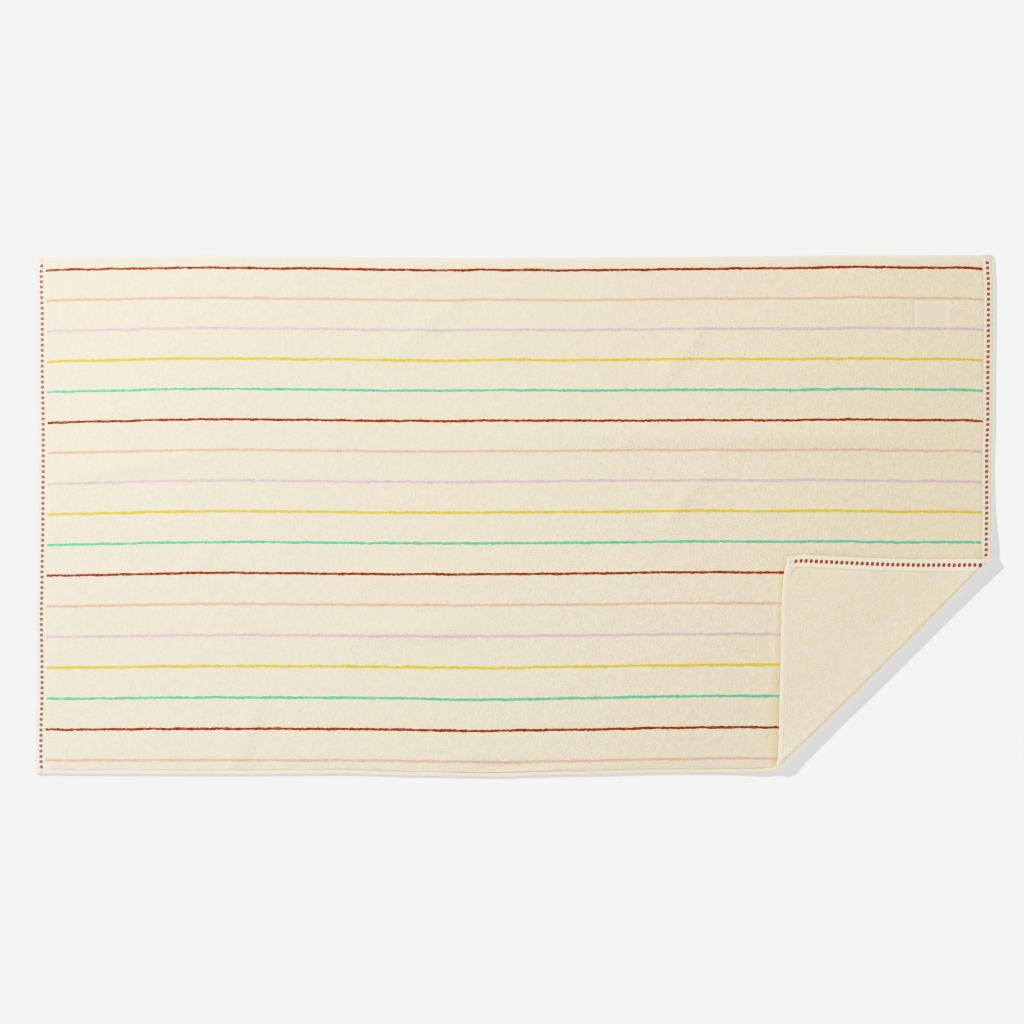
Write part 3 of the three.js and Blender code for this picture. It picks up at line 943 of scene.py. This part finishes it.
def velour_material():
    """Short sheared pile with thin stripes, and the woven bands round it."""
    cloth = Cloth("striped_velour")
    end_band = (cloth.from_end + cloth.noise("end_band")).smooth(*END_BAND)
    side_band = (cloth.from_side + cloth.noise("side_band")).smooth(*SIDE_BAND)
    in_patch, strip = patch_fields(cloth)
    bare = end_band.most(side_band).most(in_patch)
    pile = bare.turned()
    stripe, stripe_colour = stripe_fields(cloth, pile)
    dots, smear = face_dots(cloth, end_band)
    painted_flap_shade, painted_flap_light = beside_flap(cloth)

    mottles = cloth.noise("mottles").smooth(*MOTTLE_RUN) * MOTTLE_PALENESS
    duller = (strip * STRIP_PALENESS + PATCH_PALENESS).turned()
    paleness = (mottles * pile + bare) * (in_patch * duller).turned()
    colour = cloth.mix(paleness, cloth.cream, cloth.pale)
    # Warm painted shade beside the flap's edge
    colour = cloth.mix(painted_flap_shade, colour, WARM_PAINTED_SHADE)
    colour = cloth.mix(stripe, colour, stripe_colour)
    # Painted shade in the seam grooves and the right end band's line
    colour = cloth.mix(face_seam_shade(cloth, end_band, side_band), colour, PAINTED_SEAM_SHADE)
    colour = cloth.mix(smear * SMEAR_COVER, colour, SMEAR)
    # The dots go from paler on the left to darker on the right: painted light and shade after the key's
    # fall-off
    colour = cloth.mix(dots * DOT_COVER, colour, cloth.mix(cloth.rightness, DOT_LEFT, DOT_RIGHT))
    weave = cloth.weave() * bare
    # The tone's part from beside the flap is painted light
    colour = cloth.shade(colour, pile_tone(cloth, pile) + painted_flap_light + weave * WEAVE["tone"])

    pile_height = cloth.noise("fine_pile") + cloth.noise("long_pile") + cloth.noise("broad_pile")
    height = pile_height * pile + weave * WEAVE["height_mm"] + dots * DOT_HEIGHT_MM
    return cloth.finish(colour, height)


def back_seam_shade(cloth, end_band, side_band):
    """Painted shade along one seam inside the end hems and two beside the long edges."""
    end = cloth.from_end.near(*BACK_END_SEAM)
    outer = cloth.from_side.near(*BACK_OUTER_SEAM) * OUTER_SEAM_SHARE
    inner = cloth.from_side.near(*BACK_INNER_SEAM) * INNER_SEAM_SHARE
    return (end * side_band.turned()).most(outer.most(inner) * end_band.turned())


# The crease at the flap's tip: painted shade in the colour and a dent in the relief
def tip_crease(cloth):
    corner_u = cloth.from_end - TIP_CREASE["from_end"]
    corner_v = cloth.from_side - TIP_CREASE["from_side"]
    arc = (corner_u * corner_u + corner_v * corner_v).math("SQRT").near(*TIP_CREASE["arc"])
    at_tip = corner_u.smooth(0.0, -2 * TIP_CREASE_RUN) * corner_v.smooth(TIP_CREASE_RUN, -TIP_CREASE_RUN)
    return arc * at_tip * cloth.right_half * cloth.v.smooth(MIDDLE_RUN, -MIDDLE_RUN)


def fold_band(cloth):
    """Where the reverse goes round the fold."""
    across = cloth.u * ACROSS[0] + cloth.v * ACROSS[1]
    ended = (across - ON_FOLD["end"]).smooth(0.0, -ON_FOLD["end_run"])
    return ended * (across - ON_FOLD["start"]).smooth(0.0, ON_FOLD["start_run"])


def terry_material():
    """Looped reverse in plain cream, with plain hems."""
    cloth = Cloth("terry_reverse")
    ragged = cloth.noise("back_band")
    end_band = (cloth.from_end + ragged).smooth(*BACK_END_BAND)
    side_band = (cloth.from_side + ragged).smooth(*BACK_SIDE_BAND)
    bare = end_band.most(side_band)
    loops = bare.turned()
    dots = dot_mask(cloth, BACK_DOTS["inset"], BACK_DOTS["first"], BACK_DOTS)
    in_row = cloth.v.size().smooth(*BACK_DOTS["row_end"])
    seams = back_seam_shade(cloth, end_band, side_band) * BACK_SEAM_SHADE
    crease = tip_crease(cloth) * loops
    on_fold = fold_band(cloth)
    ribs = cloth.wave(cloth.v + cloth.noise("rib_wander"), RIB_PITCH)
    weave = cloth.weave() * bare

    texture = cloth.noise("back_clouds") + ribs * cloth.noise("rib_tone") + cloth.noise("back_tufts")
    tone = texture * (loops * (1 - BACK_BARE_TONE_SHARE) + BACK_BARE_TONE_SHARE)
    # The fold's part of the tone is painted light
    tone = tone + bare * BACK_BARE_TONE + BACK_TONE + on_fold * ON_FOLD["tone"]
    mottles = cloth.noise("back_mottles").smooth(*MOTTLE_RUN)
    mottles = mottles * BACK_MOTTLES["paleness"] + BACK_MOTTLES["least"]
    colour = cloth.mix(mottles * loops + bare, cloth.cream, cloth.pale)
    # Painted shade along the seams and in the crease at the flap's tip
    colour = cloth.mix(seams.most(crease * TIP_CREASE_SHADE), colour, PAINTED_SEAM_AND_CREASE_SHADE)
    # Warm painted shade on the rounded fold
    colour = cloth.mix(on_fold * ON_FOLD["cover"], colour, WARM_PAINTED_SHADE)
    dot_cover = in_row * BACK_DOT_COVER["in_row"] + BACK_DOT_COVER["past_row"]
    colour = cloth.mix(dots * dot_cover, colour, DOT_BACK)
    colour = cloth.shade(colour, tone + weave * WEAVE["tone"])

    loop_height = cloth.noise("fine_loops") + ribs * RIB_HEIGHT_MM + cloth.noise("broad_loops")
    height = loop_height * loops + weave * WEAVE["height_mm"] - crease * TIP_CREASE_DEPTH_MM
    return cloth.finish(colour, height)


# Stitches: the way from one to the next, and the size of one
STITCH_PITCH = 0.0032
STITCH_LENGTH = 0.0024
STITCH_RADIUS = 0.00023
STITCH_END_GAP = 0.006
STITCH_SIDES = 5
STITCH_RINGS = (0.25, 0.75)
STITCH_ASIDE = 0.001

# Every seam: inset from its edge, whether it is on the face, and whether it runs along a side
SEAMS = ((0.0068, True, True), (0.007, False, True), (0.0096, False, True), (0.0161, False, False))


def stitch_points(along, across, on_face, along_side):
    """Points on the cloth at places along a seam, this far across it."""
    across = np.full(len(along), across)
    u, v = (along, across) if along_side else (across, along)
    surface = face_height(u, v) if on_face else back_height(u, v)
    return folded(u, v, surface)


def build_stitches():
    """All hem stitches as short rounded bars in one mesh."""
    points, faces = [], []
    for inset, *kind in SEAMS:
        run, half = (LENGTH, HALF_WIDTH) if kind[1] else (WIDTH, HALF_LENGTH)
        count = int((run - 2 * STITCH_END_GAP) / STITCH_PITCH)
        middles = (np.arange(count) - (count - 1) / 2) * STITCH_PITCH
        for side in (-1, 1):
            across = side * (half - inset)
            ends = []
            for step in (-STITCH_LENGTH / 2, 0.0, STITCH_LENGTH / 2):
                along = middles + step
                ends.append(stitch_points(along, across, *kind))
            beside = stitch_points(along, across + side * STITCH_ASIDE, *kind) - ends[2]
            add_bars(points, faces, ends, beside)
    mesh = bpy.data.meshes.new("hem_stitches")
    mesh.from_pydata([tuple(point) for point in points], [], faces)
    mesh.polygons.foreach_set("use_smooth", [True] * len(mesh.polygons))
    material = bpy.data.materials.new("hem_thread")
    material.use_nodes = True
    surface = material.node_tree.nodes["Principled BSDF"]
    set_inputs(material.node_tree, surface, {"Base Color": THREAD, "Roughness": THREAD_ROUGHNESS})
    mesh.materials.append(material)
    mesh.update()
    return mesh


def add_bars(points, faces, ends, beside):
    """Bars between ends: pointed at both, and thickest in the middle ring."""
    for start, middle, end, aside in zip(*ends, beside):
        direction = (end - start) / np.linalg.norm(end - start)
        aside = aside - direction * np.dot(aside, direction)
        aside = aside / np.linalg.norm(aside)
        up = np.cross(direction, aside)
        first = len(points)
        points.append(start)
        for share in STITCH_RINGS:
            centre = start + (end - start) * share
            for number in range(STITCH_SIDES):
                turn = 2 * math.pi * number / STITCH_SIDES
                points.append(centre + STITCH_RADIUS * (aside * math.cos(turn) + up * math.sin(turn)))
        points.append(end)
        one, two, last = first + 1, first + 1 + STITCH_SIDES, first + 1 + 2 * STITCH_SIDES
        for number in range(STITCH_SIDES):
            following = (number + 1) % STITCH_SIDES
            faces.append((first, one + following, one + number))
            faces.append((one + number, one + following, two + following, two + number))
            faces.append((last, two + number, two + following))


def add_object(name, mesh):
    piece = bpy.data.objects.new(name, mesh)
    bpy.context.scene.collection.objects.link(piece)
    return piece


towel_mesh = mesh_from(build_cloth())
towel_mesh.materials.append(velour_material())
towel_mesh.materials.append(terry_material())
towel = add_object("towel_cloth", towel_mesh)
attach(towel, "root")
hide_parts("towel")

stitches = add_object("hem_stitches", build_stitches())
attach(stitches, "root")

# Light on the cloth: a soft key from the upper left, and a fill that leans to the other side. FILL_LIGHT is
# what a flat face gets of it, and LEAN_ON_FLOOR the share of the leaning part that such a face gets.
KEY_ELEVATION = math.radians(32.0)
KEY_DISTANCE = 3.6
KEY_SIZE = 0.25
KEY_LIGHT = 0.44
FILL_LIGHT = 0.66
FILL_LEAN = 2.0
FILL_TILT = math.radians(20.0)
LEAN_ON_FLOOR = 0.3388

# The floor: its lightness where nothing shades it, how much of that its own key gives, and that part's tint
FLOOR_HEIGHT = -0.0004
FLOOR_HALF = 8.0
FLOOR_TONE = 1.17
FLOOR_SHADE = 0.436
FLOOR_TINT = (1.015, 1.01, 0.99)

# The floor's own key, which makes its shadows deep enough while the key on the cloth stays weak
FLOOR_KEY = 0.94
FLOOR_KEY_HEADING = (-0.9063, 0.4226)
FLOOR_KEY_ELEVATION = math.radians(26.2)
FLOOR_KEY_SPREAD = math.radians(1.5)

# Camera: straight over the towel
CAMERA_PLACE = (-0.0041, 0.0048)
CAMERA_HEIGHT = 5.0
CAMERA_REACH = 50.0
FRAME_WIDTH = 1.394
SENSOR = 36.0


def towards(heading, elevation):
    """Unit vector with a heading over the floor and an elevation."""
    flat = math.cos(elevation)
    return mathutils.Vector((flat * heading[0], flat * heading[1], math.sin(elevation)))


def add_lamp(light, direction, pieces):
    """A lamp in a direction that lights only these pieces. All the others still cast its shadows."""
    lamp = add_object(light.name, light)
    lamp.location = direction * KEY_DISTANCE
    lamp.rotation_euler = (-direction).to_track_quat("-Z", "Y").to_euler()
    lit = bpy.data.collections.new("lit_by_" + light.name)
    for piece in pieces:
        lit.objects.link(piece)
    lamp.light_linking.receiver_collection = lit


def add_floor():
    """Pale plain floor. It glows as far as its lights don't make up its lightness."""
    half = FLOOR_HALF
    mesh = bpy.data.meshes.new("floor")
    corners = ((-half, -half), (half, -half), (half, half), (-half, half))
    mesh.from_pydata([(x, y, FLOOR_HEIGHT) for x, y in corners], [], [(0, 1, 2, 3)])
    material = bpy.data.materials.new("floor")
    material.use_nodes = True
    surface = material.node_tree.nodes["Principled BSDF"]
    tone = [FLOOR_SHADE / FLOOR_KEY * tint for tint in FLOOR_TINT]
    glow = [FLOOR_TONE - part * (FLOOR_KEY + FILL_LIGHT) for part in tone]
    set_inputs(material.node_tree, surface, {
        "Base Color": tone, "Roughness": 1.0, "Specular IOR Level": 0.0,
        "Emission Color": glow, "Emission Strength": 1.0,
    })
    mesh.materials.append(material)
    floor = add_object("floor", mesh)
    return floor


def add_fill():
    """Even light from all round, stronger from the side away from the key."""
    world = bpy.data.worlds.new("soft_fill")
    world.use_nodes = True
    tree = world.node_tree
    sky = tree.nodes["Background"]
    direction = tree.nodes.new("ShaderNodeTexCoord")
    product = tree.nodes.new("ShaderNodeVectorMath")
    product.operation = "DOT_PRODUCT"
    product.inputs[1].default_value = towards([-part for part in KEY_HEADING], FILL_TILT)
    tree.links.new(direction.outputs["Generated"], product.inputs[0])
    lean = Field(tree, product.outputs["Value"]).most(0.0) * FILL_LEAN + 1.0
    strength = lean * (FILL_LIGHT / (1 + LEAN_ON_FLOOR * FILL_LEAN))
    set_inputs(tree, sky, {"Color": (1.0, 1.0, 1.0), "Strength": strength})
    bpy.context.scene.world = world


def add_keys(floor):
    """The soft key on the cloth and the sharper one on the floor."""
    key = bpy.data.lights.new("key", "AREA")
    key.shape = "DISK"
    key.size = KEY_SIZE
    key.energy = KEY_LIGHT * math.pi**2 * KEY_DISTANCE**2 / math.sin(KEY_ELEVATION)
    add_lamp(key, towards(KEY_HEADING, KEY_ELEVATION), (towel, stitches))
    floor_key = bpy.data.lights.new("floor_key", "SUN")
    floor_key.energy = FLOOR_KEY * math.pi / math.sin(FLOOR_KEY_ELEVATION)
    floor_key.angle = FLOOR_KEY_SPREAD
    add_lamp(floor_key, towards(FLOOR_KEY_HEADING, FLOOR_KEY_ELEVATION), (floor,))


def add_camera():
    camera = bpy.data.cameras.new("camera")
    camera.sensor_width = SENSOR
    camera.lens = SENSOR * CAMERA_HEIGHT / FRAME_WIDTH
    camera.clip_end = CAMERA_REACH
    eye = add_object("camera", camera)
    eye.location = (*CAMERA_PLACE, CAMERA_HEIGHT)
    bpy.context.scene.camera = eye


def add_stage():
    """The floor, the lights and the camera."""
    add_keys(add_floor())
    add_fill()
    add_camera()
    bpy.context.scene.view_settings.view_transform = "Khronos PBR Neutral"
    bpy.context.scene.view_settings.look = "None"


add_stage()
